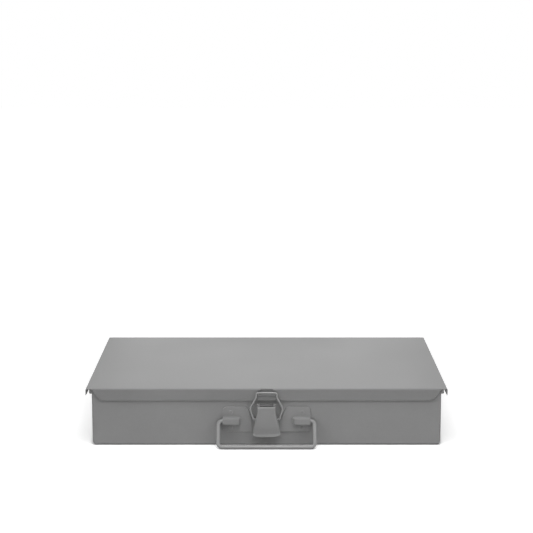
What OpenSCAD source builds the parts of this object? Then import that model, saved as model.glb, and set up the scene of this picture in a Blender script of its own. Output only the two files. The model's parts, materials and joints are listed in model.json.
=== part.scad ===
// Steel compartment box with a hinged lid, a draw latch and a wire handle.
// Units are millimetres. The origin is the centre of the box's underside,
// +Z is up and the latch faces -Y.

/* [Box] */
// Width of the box outside its side walls
body_w = 457.2; // [420:0.1:500]
// Depth of the box outside its front and rear walls
body_d = 304.8; // [280:0.1:340]
// Height from the table to the top of the closed lid
total_h = 76.2; // [72:0.1:95]
// Thickness of the box and lid sheet
sheet_t = 1; // [0.8:0.1:1.2]
// Outside radius of the bends along the sides of the floor
side_bend_r = 6.5; // [3:0.5:8]
// Outside radius of the bends round the front and rear walls
front_bend_r = 3; // [2:0.5:5]
// How far the rim stands out from each side wall
rim_out = 3.2; // [2.6:0.1:4.5]
// Height of the rim along each side wall
rim_h = 5.6; // [4.5:0.1:6.5]

/* [Compartments] */
// Number of compartments along each trough
columns = 4; // [3:1:6]
// Thickness of the trough and divider sheet
insert_t = 0.8; // [0.6:0.1:1]
// Inside radius of the scooped bottom of a trough
scoop_r = 34; // [20:1:42]
// Distance from the top of the lid down to the dividers
divider_drop = 6.7; // [6.2:0.1:12]
// Length of the welding tab at each end of a divider
tab_l = 9; // [6:0.5:14]

/* [Lid] */
// How far the lid stands out past each side wall
lid_side_out = 7.6; // [7:0.1:10]
// Height of the lid's front flange, with the thickness of the lid
lid_front_h = 15.7; // [14:0.1:17]
// Height of the lid's side flanges, with the thickness of the lid
lid_side_h = 8.1; // [5:0.1:10]
// Gap between the front wall and the lid's front flange
lid_front_gap = 1.3; // [1:0.1:1.5]
// Outside radius of the bend along the lid's front
lid_bend_r = 1.8; // [1.4:0.1:2.5]
// Outside radius of the bends along the lid's sides
lid_side_bend_r = 1.3; // [1.3:0.1:2.5]
// Width of the sloped cut at each end of the front flange
flange_slope = 11; // [8:0.5:14]

/* [Hinge] */
// Outside diameter of the hinge knuckles
knuckle_d = 5.4; // [5:0.1:6]
// Thickness of the hinge leaves
leaf_t = 1; // [0.8:0.1:1.2]
// Width of each hinge leaf, from the pin to its free edge
leaf_w = 18; // [14:0.5:24]
// Diameter of the hinge pin
hinge_pin_d = 2.6; // [2.2:0.1:3]
// Number of knuckles on the lid leaf
lid_knuckles = 12; // [8:1:16]

/* [Handle] */
// Diameter of the handle wire
handle_wire_d = 5.6; // [4.5:0.1:6]
// Width of the handle over the outside of its legs
handle_w = 131.6; // [126:0.1:140]
// Distance from the handle's pivot to the middle of its bar
handle_reach = 34.5; // [33.5:0.1:40]
// Centreline radius of the bends in the handle
handle_bend_r = 5.6; // [4:0.1:7]
// Thickness of the handle plate
plate_t = 1.3; // [1:0.1:1.6]
// Width of the handle plate
plate_w = 114.4; // [112:0.1:118]
// Height of the handle plate
plate_h = 33.5; // [31:0.1:36]
// Distance between the closed ends of the two raised tunnels
tunnel_gap = 69; // [60:1:76]

/* [Latch] */
// Thickness of the latch base and of the strike on the lid
latch_t = 1.2; // [1:0.1:1.3]
// Thickness of the lever sheet
lever_t = 1.2; // [1:0.1:1.4]
// Width of the lever at its pivot
lever_w = 24; // [23:0.1:25]
// Width of the lever's flared grip
grip_w = 35.8; // [32:0.1:38]
// Length of the lever below its pivot
lever_l = 41; // [39:0.1:43]
// Diameter of the link wire
link_d = 2.6; // [2.2:0.1:2.8]
// Widest distance between the middles of the link's two sides
link_w = 43.2; // [40:0.1:46]
// Width of the strike on the lid
strike_w = 23.6; // [21:0.1:24]
// Diameter of the latch's pivot pin
latch_pin_d = 3; // [2.4:0.1:3.2]

/* [Hidden] */
ROW_NAMES = ["front", "middle", "rear"];
$fn = 96;

// Clearances and overrun
over = 2; // overrun of every cut
slip = 0.05; // radial clearance of a pin in its hole
loose = 0.35; // radial clearance of the handle in its tunnels
seat_gap = 0.2; // gap between an insert and the sheet that holds it
turn_gap = 0.4; // gap between parts that turn past each other

// Box
front_y = -body_d/2;
rear_y = body_d/2;
lid_under = total_h - sheet_t;
wall_top = total_h - 3.7*sheet_t;
rim_top = lid_under - turn_gap;
divider_top = total_h - divider_drop;
hem_low = divider_top + seat_gap;
flat_w = body_w - 2*front_bend_r; // of the front and rear walls

// Hinge
knuckle_r = knuckle_d/2;
hinge_y = rear_y + knuckle_r;
hinge_z = lid_under - knuckle_r;
hinge_w = flat_w;
knuckles = 2*lid_knuckles + 1;
knuckle_pitch = hinge_w/knuckles;
// Run at which a flat face clears a knuckle that it would otherwise touch
knuckle_clear = sqrt(pow(knuckle_r + turn_gap, 2) - pow(knuckle_r, 2));
rear_wall_top = hinge_z - knuckle_clear;

// Lid
lid_w = body_w + 2*lid_side_out;
lid_front_y = front_y - lid_front_gap - sheet_t;
lid_rear_y = hinge_y - knuckle_clear;
flange_w = body_w - 2*sheet_t;
notch_top = 16.4; // width of the notch in the lid's top
notch_drop = 4; // depth of the notch below the lid's top

// Compartments
rows = len(ROW_NAMES);
trough_pitch = (body_d - 2*sheet_t)/rows;
trough_d = trough_pitch - seat_gap;
trough_in_d = trough_d - 2*insert_t;
column_pitch = (body_w - 2*sheet_t)/columns;
divider_d = trough_in_d - 2*seat_gap;
fold_h = 4; // height of the folded edge along a divider's top

// Handle: its plate hangs below the top of the latch base
plate_drop = 4.56;
tunnel_drop = 18.5; // from the plate's upper edge down to the handle's pivot
handle_r = handle_wire_d/2;
tunnel_in_r = handle_r + loose;
tunnel_out_r = tunnel_in_r + plate_t;
handle_y = front_y - tunnel_in_r;
leg_x = handle_w/2 - handle_r;
arm_end_x = tunnel_gap/2 + plate_t + handle_r;
plate_corner_r = 4*plate_t;

// Latch: heights are measured down from the top of the lid, and "out" is the
// distance in front of the front wall.
link_r = link_d/2;
latch_pin_r = latch_pin_d/2;
ear_r = latch_pin_r + lever_t;
strike_half = strike_w/2;
pivot_drop = 21.9;
pivot_out = 6;
crank = 18.3; // from the lever's pivot down to the link's pivot
crank_out = 5;
bar_drop = 4.8;
bar_out = 4.6;
pivot_z = total_h - pivot_drop;
crank_z = pivot_z - crank;
bar_z = total_h - bar_drop;
pivot_y = front_y - pivot_out;
crank_y = front_y - crank_out;
bar_y = front_y - bar_out;
link_l = norm([bar_y - crank_y, bar_z - crank_z]);
link_lean = atan((crank_y - bar_y)/(bar_z - crank_z));
lever_gap = 0.5; // from the latch's ears to the lever's face
lever_in = pivot_out + ear_r + lever_gap;
lever_out = lever_in + lever_t;
base_w = 35;
base_low = crank_z + 0.9*ear_r;
base_high = pivot_z + 0.8*ear_r;
plate_high = base_high - plate_drop;
plate_low = plate_high - plate_h;
handle_pivot_h = plate_high - tunnel_drop;
// The handle leans on the table, or hangs straight where it doesn't reach it
handle_tilt = acos(min(1, (handle_pivot_h - handle_r)/handle_reach));
ear_x = lever_w/2 - lever_t - turn_gap - latch_t;
strike_gap = 0.6; // from the link's bar to the sloped face of the strike
lever_neck = 8; // from the pivot down to where the lever starts to widen
grip_h = 8.9; // height of the lever's straight-sided grip
grip_flare = 3.5; // how far the grip's end stands out from the face

steel = "gray";

// Geometry helpers

function unit(v) = v/norm(v);

function flat(p) = [p.x, p.y];

// Points of an arc that rounds corner b between a and c
function round_corner(a, b, c, r, steps) =
    let (
        u = unit(a - b),
        v = unit(c - b),
        half = acos(u*v)/2,
        mid = b + unit(u + v)*r/sin(half),
        start = b + u*r/tan(half) - mid,
        from = atan2(start.y, start.x),
        way = cross(a - b, c - b) > 0 ? -1 : 1,
        sweep = way*(180 - 2*half)
    )
    [for (i = [0:steps]) mid + r*[cos(from + sweep*i/steps), sin(from + sweep*i/steps)]];

// Outline through corners given as [x, y, radius]
function rounded(corners, steps = 8) =
    let (n = len(corners))
    [for (i = [0:n - 1])
        let (
            a = corners[(i + n - 1) % n],
            b = corners[i],
            c = corners[(i + 1) % n]
        )
        each b.z == 0
            ? [flat(b)]
            : round_corner(flat(a), flat(b), flat(c), b.z, steps)
    ];

// Left and right halves of an outline from the corners of its right half,
// listed from the top down
function both_sides(right) =
    concat(right, [for (i = [len(right) - 1:-1:0]) [-right[i].x, right[i].y, right[i].z]]);

// Extrudes a [y, z] profile along X, centred
module along_x(w) {
    translate([-w/2, 0, 0])
        rotate([90, 0, 90])
            linear_extrude(height = w)
                children();
}

// Extrudes an [x, z] profile along Y, from low_y to high_y
module along_y(low_y, high_y) {
    translate([0, high_y, 0])
        rotate([90, 0, 0])
            linear_extrude(height = high_y - low_y)
                children();
}

// Round bar along X, centred on x
module bar_x(d, l, x = 0) {
    translate([x - l/2, 0, 0])
        rotate([0, 90, 0])
            cylinder(d = d, h = l);
}

module mirrored_x() {
    children();
    mirror([1, 0, 0])
        children();
}

// Cross-section of a pan: flat foot, straight sides and rounded lower corners
module pan_section(w, h, r) {
    translate([-w/2 + r, 0])
        square([w - 2*r, h]);
    translate([-w/2, r])
        square([w, h - r]);
    for (side = [-1, 1])
        translate([side*(w/2 - r), r])
            circle(r);
}

// Rectangle with rounded corners, centred
module plan(w, d, r) {
    square([w - 2*r, d], center = true);
    square([w, d - 2*r], center = true);
    for (x = [-1, 1])
        for (y = [-1, 1])
            translate([x*(w/2 - r), y*(d/2 - r)])
                circle(r);
}

// Block whose corner at the origin is rounded
module soft_corner(x, y, r) {
    translate([r, 0])
        square([x - r, y]);
    translate([0, r])
        square([x, y - r]);
    translate([r, r])
        circle(r);
}

// Sheet bent through a right angle, with its legs along +x and +y
module bent_sheet(x, y, t, r) {
    intersection() {
        difference() {
            soft_corner(x + over, y + over, r);
            translate([t, t])
                soft_corner(x + 2*over, y + 2*over, r - t);
        }
        square([x, y]);
    }
}

// Round wire in the XY plane through corners given as [x, y, bend radius].
// A bend is a little thinner than the runs, as in drawn wire, and starts
// lap degrees inside them.
module bent_wire(path, r) {
    bend_share = 0.985;
    lap = 2;
    last = len(path) - 1;
    // Distance that each bend takes from its corner
    backs = [for (i = [0:last])
        i == 0 || i == last || path[i].z == 0
            ? 0
            : let (
                u = unit(flat(path[i - 1]) - flat(path[i])),
                v = unit(flat(path[i + 1]) - flat(path[i]))
            )
            path[i].z/tan(acos(u*v)/2)
    ];
    for (i = [0:last - 1]) {
        a = flat(path[i]);
        b = flat(path[i + 1]);
        run = norm(b - a) - backs[i] - backs[i + 1];
        translate([a.x, a.y, 0])
            rotate([0, 0, atan2(b.y - a.y, b.x - a.x)])
                translate([backs[i], 0, 0])
                    rotate([0, 90, 0])
                        cylinder(r = r, h = run);
    }
    for (i = [1:last - 1]) {
        corner = flat(path[i]);
        u = unit(flat(path[i - 1]) - corner);
        v = unit(flat(path[i + 1]) - corner);
        half = acos(u*v)/2;
        mid = corner + unit(u + v)*path[i].z/sin(half);
        inward = unit(corner - mid);
        translate([mid.x, mid.y, 0])
            rotate([0, 0, atan2(inward.y, inward.x) - (90 - half) - lap])
                rotate_extrude(angle = 180 - 2*half + 2*lap)
                    translate([path[i].z, 0])
                        circle(bend_share*r);
    }
}

// Box

// Space inside the tray, smaller by gap all round
module tray_cavity(gap = 0) {
    inner_w = body_w - 2*sheet_t - 2*gap;
    inner_d = body_d - 2*sheet_t - 2*gap;
    intersection() {
        translate([0, 0, sheet_t])
            along_y(front_y - over, rear_y + over)
                pan_section(inner_w, total_h, side_bend_r - sheet_t);
        translate([0, 0, sheet_t])
            along_x(body_w + 2*over)
                pan_section(inner_d, total_h, front_bend_r - sheet_t);
        linear_extrude(height = total_h + over)
            plan(inner_w, inner_d, front_bend_r - sheet_t);
    }
}

// Outward rolled rim along the top of a side wall, closed at its front end
module side_rim() {
    bend_r = 1.5*sheet_t;
    inside_r = bend_r - sheet_t;
    translate([body_w/2, 0, rim_top]) {
        along_y(front_y, rear_y)
            polygon(rounded([
                [-sheet_t, 0, 0],
                [rim_out, 0, bend_r],
                [rim_out, -rim_h, bend_r],
                [seat_gap, -rim_h, 0],
                [seat_gap, sheet_t - rim_h, 0],
                [rim_out - sheet_t, sheet_t - rim_h, inside_r],
                [rim_out - sheet_t, -sheet_t, inside_r],
                [-sheet_t, -sheet_t, 0]
            ]));
        along_y(front_y, front_y + sheet_t)
            polygon(rounded([
                [-sheet_t, 0, 0],
                [rim_out, 0, bend_r],
                [rim_out, -rim_h, bend_r],
                [-sheet_t, -rim_h, 0]
            ]));
    }
}

module tray_shell() {
    color(steel) {
        difference() {
            intersection() {
                along_y(front_y, rear_y)
                    pan_section(body_w, rim_top, side_bend_r);
                along_x(body_w)
                    pan_section(body_d, rim_top, front_bend_r);
                linear_extrude(height = rim_top)
                    plan(body_w, body_d, front_bend_r);
            }
            tray_cavity();
            // Front wall stops short of the lid
            translate([-body_w/2 + sheet_t, front_y - over, wall_top])
                cube([body_w - 2*sheet_t, sheet_t + 2*over, total_h]);
            // Rear wall stops below the knuckles
            translate([-body_w/2 + sheet_t, rear_y - sheet_t - over, rear_wall_top])
                cube([body_w - 2*sheet_t, sheet_t + 2*over, total_h]);
        }
        // Folded hem inside the top of the front wall
        translate([-flat_w/2, front_y + sheet_t/2, hem_low])
            cube([flat_w, 1.5*sheet_t, wall_top - hem_low]);
        mirrored_x()
            side_rim();
    }
}

// Compartments

function row_y(row) = front_y + sheet_t + trough_pitch*(row + 0.5);

// Formed trough with a scooped bottom, its ends cut to the tray's bends
module trough(row) {
    color(steel)
        intersection() {
            difference() {
                translate([0, row_y(row), sheet_t])
                    along_x(body_w)
                        pan_section(trough_d, divider_top - sheet_t, scoop_r + insert_t);
                translate([0, row_y(row), sheet_t + insert_t])
                    along_x(body_w + over)
                        pan_section(trough_in_d, total_h, scoop_r);
            }
            tray_cavity(seat_gap);
        }
}

// Cross divider with a scooped foot, a folded top edge and a welding tab at
// each end
module divider(row, column) {
    tab_low = sheet_t + insert_t + scoop_r;
    color(steel)
        translate([-body_w/2 + sheet_t + column*column_pitch, row_y(row), 0]) {
            translate([0, 0, sheet_t + insert_t + seat_gap])
                along_x(insert_t)
                    pan_section(divider_d, divider_top - sheet_t - insert_t - seat_gap, scoop_r - seat_gap);
            translate([-insert_t/2, -divider_d/2, divider_top - fold_h])
                cube([2*insert_t, divider_d, fold_h]);
            for (end = [0, 1])
                mirror([0, end, 0])
                    translate([-insert_t/2, divider_d/2 - insert_t, tab_low])
                        cube([tab_l, insert_t, divider_top - 2*fold_h - tab_low]);
        }
}

// Hinge

// Knuckles start and ends along X: even ones belong to the tray
function knuckle_x(i) = -hinge_w/2 + i*knuckle_pitch;

// One hinge leaf lying along +y from the pin, with knuckle i where i % 2 == own
module hinge_leaf(own) {
    reach = knuckle_r + turn_gap;
    color(steel)
        difference() {
            union() {
                translate([-hinge_w/2, reach, knuckle_r - leaf_t])
                    cube([hinge_w, leaf_w - reach, leaf_t]);
                for (i = [own:2:knuckles - 1])
                    translate([knuckle_x(i) + turn_gap/2, 0, 0]) {
                        rotate([0, 90, 0])
                            cylinder(d = knuckle_d, h = knuckle_pitch - turn_gap);
                        translate([0, 0, knuckle_r - leaf_t])
                            cube([knuckle_pitch - turn_gap, reach + leaf_t, leaf_t]);
                    }
            }
            bar_x(hinge_pin_d + 2*slip, body_w);
        }
}

module hinge_leaf_lid() {
    translate([0, hinge_y, hinge_z])
        mirror([0, 1, 0])
            hinge_leaf(1);
}

module hinge_leaf_tray() {
    translate([0, hinge_y, hinge_z])
        rotate([90, 0, 0])
            mirror([0, 1, 0])
                hinge_leaf(0);
}

module hinge_pin() {
    color("silver")
        translate([0, hinge_y, hinge_z])
            bar_x(hinge_pin_d, hinge_w);
}

// Lid

// Front flange outline with its sloped ends, seen from the front
module front_outline() {
    polygon(rounded(both_sides([
        [flange_w/2, total_h + over, 0],
        [flange_w/2, total_h - lid_bend_r, 0],
        [flange_w/2 - flange_slope, total_h - lid_front_h, 4*sheet_t]
    ])));
}

module lid_shell() {
    edge = 2*lid_bend_r;
    color(steel)
        difference() {
            union() {
                // Flat top inside the bends
                translate([-lid_w/2 + lid_side_bend_r, lid_front_y + lid_bend_r, lid_under])
                    cube([lid_w - 2*lid_side_bend_r, lid_rear_y - lid_front_y - lid_bend_r, sheet_t]);
                // Tab folded down behind the notch
                translate([-strike_half, front_y - lid_front_gap/2, wall_top + turn_gap])
                    cube([strike_w, lid_front_gap/2 + sheet_t, lid_under - wall_top]);
                // Front flange
                intersection() {
                    along_x(flange_w)
                        translate([lid_front_y, total_h])
                            mirror([0, 1])
                                bent_sheet(edge, lid_front_h + over, sheet_t, lid_bend_r);
                    along_y(lid_front_y - over, lid_front_y + edge + over)
                        front_outline();
                }
                mirrored_x() {
                    // Side flange
                    along_y(lid_front_y, lid_rear_y)
                        translate([-lid_w/2, total_h])
                            mirror([0, 1])
                                bent_sheet(edge, lid_side_h, sheet_t, lid_side_bend_r);
                    // Flat corner between the flanges
                    translate([-lid_w/2 + lid_side_bend_r, lid_front_y, lid_under])
                        cube([(lid_w - flange_w)/2 - lid_side_bend_r, edge, sheet_t]);
                }
            }
            // Notch that the link's bar drops into
            along_y(lid_front_y - over, front_y - lid_front_gap/4)
                polygon(rounded(both_sides([
                    [notch_top/2, total_h + over, 0],
                    [notch_top/2, total_h - notch_drop/2, sheet_t],
                    [strike_half, total_h - notch_drop, 0]
                ])));
        }
}

// Profile drawn as [distance in front of the front wall, height], made solid
// over a width
module front_profile(w) {
    translate([0, front_y, 0])
        mirror([0, 1, 0])
            along_x(w)
                children();
}

// Strike plate on the lid, sloped out to hold the link's bar
module lid_strike() {
    back = lid_front_gap + sheet_t;
    seat = link_r + strike_gap;
    slope = 40;
    foot = bar_out + seat*sin(slope);
    seat_z = bar_z - seat*cos(slope);
    low = total_h - lid_front_h + sheet_t/2;
    inner_low = [back, seat_z - (foot - back)*tan(slope)];
    color(steel)
        intersection() {
            front_profile(strike_w)
                polygon(rounded([
                    [back, low, 0],
                    [back + latch_t, low, latch_t/2],
                    [back + latch_t, inner_low.y - latch_t*tan(45 - slope/2), latch_t],
                    [foot + latch_t*sin(slope), seat_z - latch_t*cos(slope), 0.45*latch_t],
                    [foot, seat_z, 0.45*latch_t],
                    [inner_low.x, inner_low.y, 0]
                ]));
            along_y(front_y - body_d, front_y)
                polygon(rounded(both_sides([
                    [strike_half, total_h, 0],
                    [strike_half, low, 2*latch_t]
                ])));
        }
}

// Handle

// Raised tunnel as a rounded box that ends at end_x: its outside, or the space
// in it where inset is the sheet's thickness
module tunnel(inset, end_x) {
    half = tunnel_out_r - inset;
    bend_r = 2*plate_t - inset;
    nose_x = tunnel_gap/2 + inset;
    run = end_x - nose_x;
    translate([nose_x, handle_y, handle_pivot_h])
        intersection() {
            rotate([90, 0, 90])
                linear_extrude(height = run)
                    polygon(rounded([
                        [tunnel_in_r, half, 0],
                        [-half, half, bend_r],
                        [-half, -half, bend_r],
                        [tunnel_in_r, -half, 0]
                    ]));
            along_y(-half, tunnel_in_r)
                polygon(rounded([
                    [run, half, 0],
                    [0, half, 0.7*half],
                    [0, -half, 0.7*half],
                    [run, -half, 0]
                ]));
            translate([0, 0, -half])
                linear_extrude(height = 2*half)
                    polygon(rounded([
                        [run, tunnel_in_r, 0],
                        [0, tunnel_in_r, 0],
                        [0, -half, bend_r],
                        [run, -half, 0]
                    ]));
        }
}

// Butterfly plate with a notch for the latch and a tunnel for each handle end
module handle_plate() {
    notch_gap = 1.5*plate_t;
    color(steel)
        difference() {
            union() {
                along_y(front_y - plate_t, front_y)
                    polygon(rounded(both_sides([
                        [base_w/2 - 3*plate_t, base_low - 6*plate_t, 4*plate_t],
                        [base_w/2 + notch_gap, base_low, 8*plate_t],
                        [base_w/2 + 7*plate_t, plate_high, plate_corner_r],
                        [plate_w/2, plate_high, plate_corner_r],
                        [plate_w/2, plate_low, plate_corner_r]
                    ])));
                mirrored_x()
                    tunnel(0, plate_w/2);
            }
            mirrored_x()
                tunnel(plate_t, plate_w/2 + over);
        }
}

module handle() {
    color(steel)
        translate([0, handle_y, handle_pivot_h])
            rotate([-90 - handle_tilt, 0, 0])
                bent_wire([
                    [-arm_end_x, 0, 0],
                    [-leg_x, 0, handle_bend_r],
                    [-leg_x, handle_reach, handle_bend_r],
                    [leg_x, handle_reach, handle_bend_r],
                    [leg_x, 0, handle_bend_r],
                    [arm_end_x, 0, 0]
                ], handle_r);
}

// Latch

module latch_base() {
    color(steel) {
        difference() {
            union() {
                along_y(front_y - latch_t, front_y)
                    polygon(rounded(both_sides([
                        [base_w/2, base_high, latch_t],
                        [base_w/2, base_low, 2*latch_t]
                    ])));
                mirrored_x()
                    translate([ear_x + latch_t/2, 0, 0])
                        front_profile(latch_t) {
                            polygon([
                                [0, pivot_z - 1.5*ear_r],
                                [pivot_out, pivot_z - ear_r],
                                [pivot_out, pivot_z + ear_r],
                                [0, base_high]
                            ]);
                            translate([pivot_out, pivot_z])
                                circle(ear_r);
                        }
            }
            translate([0, pivot_y, pivot_z])
                bar_x(latch_pin_d + slip, lever_w);
        }
    }
}

module latch_pin() {
    color(steel)
        translate([0, pivot_y, pivot_z])
            bar_x(latch_pin_d, lever_w);
}

// Half the lever's width at a distance below its pivot
function lever_half(drop) =
    lever_w/2 + (drop - lever_neck)*(grip_w - lever_w)/2/(lever_l - grip_h - lever_neck);

// Lever seen from the front, smaller by inset on each side
module lever_outline(inset = 0) {
    polygon(rounded(both_sides([
        [lever_w/2 - inset, 2*ear_r, 0],
        [lever_w/2 - inset, -lever_neck, 6*grip_h],
        [grip_w/2 - inset, grip_h - lever_l, grip_h],
        [grip_w/2 - inset, 0.27*grip_h - lever_l, 0.38*grip_h],
        [0.32*grip_w - inset, -lever_l, 2.6*grip_h]
    ])));
}

// Lever of bent sheet: a tapered face with a flared grip and two side
// flanges that carry the pivots
module latch_lever() {
    face_top = -lever_t/2;
    face_mid = lever_out - lever_t/2;
    color(steel)
        translate([0, 0, pivot_z])
            difference() {
                union() {
                    intersection() {
                        along_y(front_y - body_d, front_y)
                            lever_outline();
                        front_profile(grip_w)
                            polygon(rounded([
                                [lever_out, face_top, 0.9*lever_t],
                                [lever_out, 1.2*grip_h - lever_l, 3*grip_h],
                                [lever_out + grip_flare, -lever_l, lever_t/3],
                                [lever_in + grip_flare, -lever_l, lever_t/3],
                                [lever_in, 1.2*grip_h - lever_l, 3*grip_h + lever_t],
                                [lever_in, face_top, 0]
                            ]));
                    }
                    difference() {
                        intersection() {
                            along_y(front_y - body_d, front_y)
                                lever_outline();
                            front_profile(grip_w) {
                                polygon([
                                    [pivot_out - ear_r, 0],
                                    [pivot_out, ear_r],
                                    [face_mid, face_top],
                                    [face_mid, -crank - grip_h],
                                    [crank_out, -crank - ear_r],
                                    [crank_out - ear_r, -crank]
                                ]);
                                translate([pivot_out, 0])
                                    circle(ear_r);
                                translate([crank_out, -crank])
                                    circle(ear_r);
                            }
                        }
                        along_y(front_y - lever_in, front_y + over)
                            lever_outline(lever_t);
                    }
                }
                translate([0, pivot_y, 0])
                    bar_x(latch_pin_d + 2*slip, lever_w + over);
                translate([0, crank_y, -crank])
                    bar_x(link_d + 2*slip, grip_w);
            }
}

// Wire link from the lever's flanges up to the strike
module latch_link() {
    foot_x = lever_half(crank) + 0.9*link_d;
    end_x = lever_half(crank) - lever_t - link_r;
    neck_x = strike_half + link_r + turn_gap;
    bend_r = link_d;
    right = [
        [end_x, 0, 0],
        [foot_x, 0, bend_r],
        [link_w/2, 0.4*link_l, 2*bend_r],
        [neck_x, 0.83*link_l, 2*bend_r],
        [neck_x, link_l, bend_r]
    ];
    color(steel)
        translate([0, crank_y, crank_z])
            rotate([90 + link_lean, 0, 0])
                bent_wire(both_sides(right), link_r);
}

tray_shell();
for (row = [0:rows - 1]) {
    trough(row);
    for (i = [1:columns - 1])
        divider(row, i);
}
hinge_leaf_tray();
hinge_pin();
handle_plate();
latch_base();
latch_pin();
latch_lever();
latch_link();
handle();
lid_shell();
lid_strike();
hinge_leaf_lid();
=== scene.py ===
import json
import logging
import math
from dataclasses import dataclass
from enum import Enum

import bmesh
import bpy
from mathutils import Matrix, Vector
from mathutils.bvhtree import BVHTree

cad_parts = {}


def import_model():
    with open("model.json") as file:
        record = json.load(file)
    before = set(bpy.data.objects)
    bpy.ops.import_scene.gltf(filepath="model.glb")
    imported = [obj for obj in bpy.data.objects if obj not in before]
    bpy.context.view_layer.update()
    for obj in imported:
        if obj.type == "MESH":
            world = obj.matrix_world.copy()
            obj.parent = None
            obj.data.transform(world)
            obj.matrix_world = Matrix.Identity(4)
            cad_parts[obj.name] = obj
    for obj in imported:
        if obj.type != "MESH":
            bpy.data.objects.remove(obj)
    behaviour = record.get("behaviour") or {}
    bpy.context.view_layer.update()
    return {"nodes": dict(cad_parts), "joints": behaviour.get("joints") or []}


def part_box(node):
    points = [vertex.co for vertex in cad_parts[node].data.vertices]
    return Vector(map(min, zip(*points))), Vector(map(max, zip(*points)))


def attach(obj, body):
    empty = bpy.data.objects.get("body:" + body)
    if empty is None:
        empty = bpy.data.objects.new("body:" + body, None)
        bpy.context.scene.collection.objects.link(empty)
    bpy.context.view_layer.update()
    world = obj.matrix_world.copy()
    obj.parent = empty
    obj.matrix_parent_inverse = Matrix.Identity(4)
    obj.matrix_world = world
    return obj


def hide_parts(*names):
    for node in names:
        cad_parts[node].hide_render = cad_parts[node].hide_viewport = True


LOG = logging.getLogger("compartment_box")

# One millimetre in the scene's metres.
MM = 0.001

# Slack for heights that should be the same, in millimetres.
ROUNDING = 0.01

# Vertices of a pressing that lie closer than this are one, in metres.
MERGE_DIST = 0.00001

# Bends of a pressing that turn more sharply than this look crisp, in degrees.
CRISP_ANGLE = 50

# Nearly all of a noise texture lies between these values.
NOISE_RANGE = (0.2, 0.8)

# Rays that measure how open a place is.
OPENNESS_SAMPLES = 8

WHITE = (1, 1, 1, 1)

Curve = tuple[tuple[float, float], ...]
Place = tuple[float, float, float]


class Ramp(Enum):
    """How a remapped value runs from one end of its range to the other."""

    STRAIGHT = "LINEAR"
    SOFT = "SMOOTHSTEP"


class Blend(Enum):
    """How two values are combined."""

    PRODUCT = "MULTIPLY"
    LARGER = "MAXIMUM"


class Facing(Enum):
    """Direction from the points that look for a sheet to the sheet."""

    BACK = (0, 1, 0)
    FRONT = (0, -1, 0)
    RIGHT = (1, 0, 0)
    LEFT = (-1, 0, 0)


@dataclass(frozen=True)
class Wiring:
    """The node tree of a finish, with short ways to add and join its nodes.

    Args:
        tree: The node tree.
    """

    tree: bpy.types.NodeTree

    def add(self, kind: str) -> bpy.types.Node:
        """Adds a node of a kind."""
        return self.tree.nodes.new(kind)

    def join(self, source: bpy.types.NodeSocket, socket: bpy.types.NodeSocket) -> None:
        """Leads a value into a socket."""
        self.tree.links.new(source, socket)

    def combine(
        self, blend: Blend, first: bpy.types.NodeSocket, second: bpy.types.NodeSocket,
    ) -> bpy.types.NodeSocket:
        """Combines two values.

        Args:
            blend: How they are combined.
            first: The first value.
            second: The second value.

        Returns:
            The result.
        """
        node = self.add("ShaderNodeMath")
        node.operation = blend.value
        self.join(first, node.inputs[0])
        self.join(second, node.inputs[1])
        return node.outputs["Value"]

    def remap(
        self, source: bpy.types.NodeSocket, reads: tuple[float, float],
        gives: tuple[float, float], ramp: Ramp = Ramp.STRAIGHT,
    ) -> bpy.types.NodeSocket:
        """Leads one range of a value on to another, and holds it at both ends.

        Args:
            source: The value that is read.
            reads: Values at which the range starts and ends.
            gives: Results at those two values.
            ramp: How the result runs between them.

        Returns:
            The result.
        """
        node = self.add("ShaderNodeMapRange")
        node.interpolation_type = ramp.value
        node.inputs["From Min"].default_value, node.inputs["From Max"].default_value = reads
        node.inputs["To Min"].default_value, node.inputs["To Max"].default_value = gives
        self.join(source, node.inputs["Value"])
        return node.outputs["Result"]

    def noise(
        self, place: bpy.types.NodeSocket, size: float, detail: float,
    ) -> bpy.types.NodeSocket:
        """Adds noise in space.

        Args:
            place: Where the noise is read.
            size: Size of its patches, in metres.
            detail: How many layers of finer noise it has.

        Returns:
            The noise.
        """
        node = self.add("ShaderNodeTexNoise")
        node.inputs["Scale"].default_value = 1 / size
        node.inputs["Detail"].default_value = detail
        self.join(place, node.inputs["Vector"])
        return node.outputs["Fac"]

    def openness(self, reach: float) -> bpy.types.NodeSocket:
        """Measures how open a place is.

        Args:
            reach: How far other surfaces count, in metres.

        Returns:
            A value from 0 deep in a crevice to 1 in the open.
        """
        node = self.add("ShaderNodeAmbientOcclusion")
        node.samples = OPENNESS_SAMPLES
        node.inputs["Distance"].default_value = reach
        return node.outputs["AO"]


def plain_material(name: str) -> tuple[bpy.types.Material, bpy.types.Node, Wiring]:
    """Makes a material that has only its shader.

    Args:
        name: Name of the material.

    Returns:
        The material, its shader and its wiring.
    """
    material = bpy.data.materials.new(name)
    material.use_nodes = True
    return material, material.node_tree.nodes["Principled BSDF"], Wiring(material.node_tree)


def millimetres(metres: float) -> float:
    """Gives a length of the frame in millimetres, to a hundredth."""
    return round(metres / MM, 2)


def grey(level: float) -> tuple[float, float, float]:
    """Gives a neutral colour of a linear level."""
    return (level, level, level)


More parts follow.
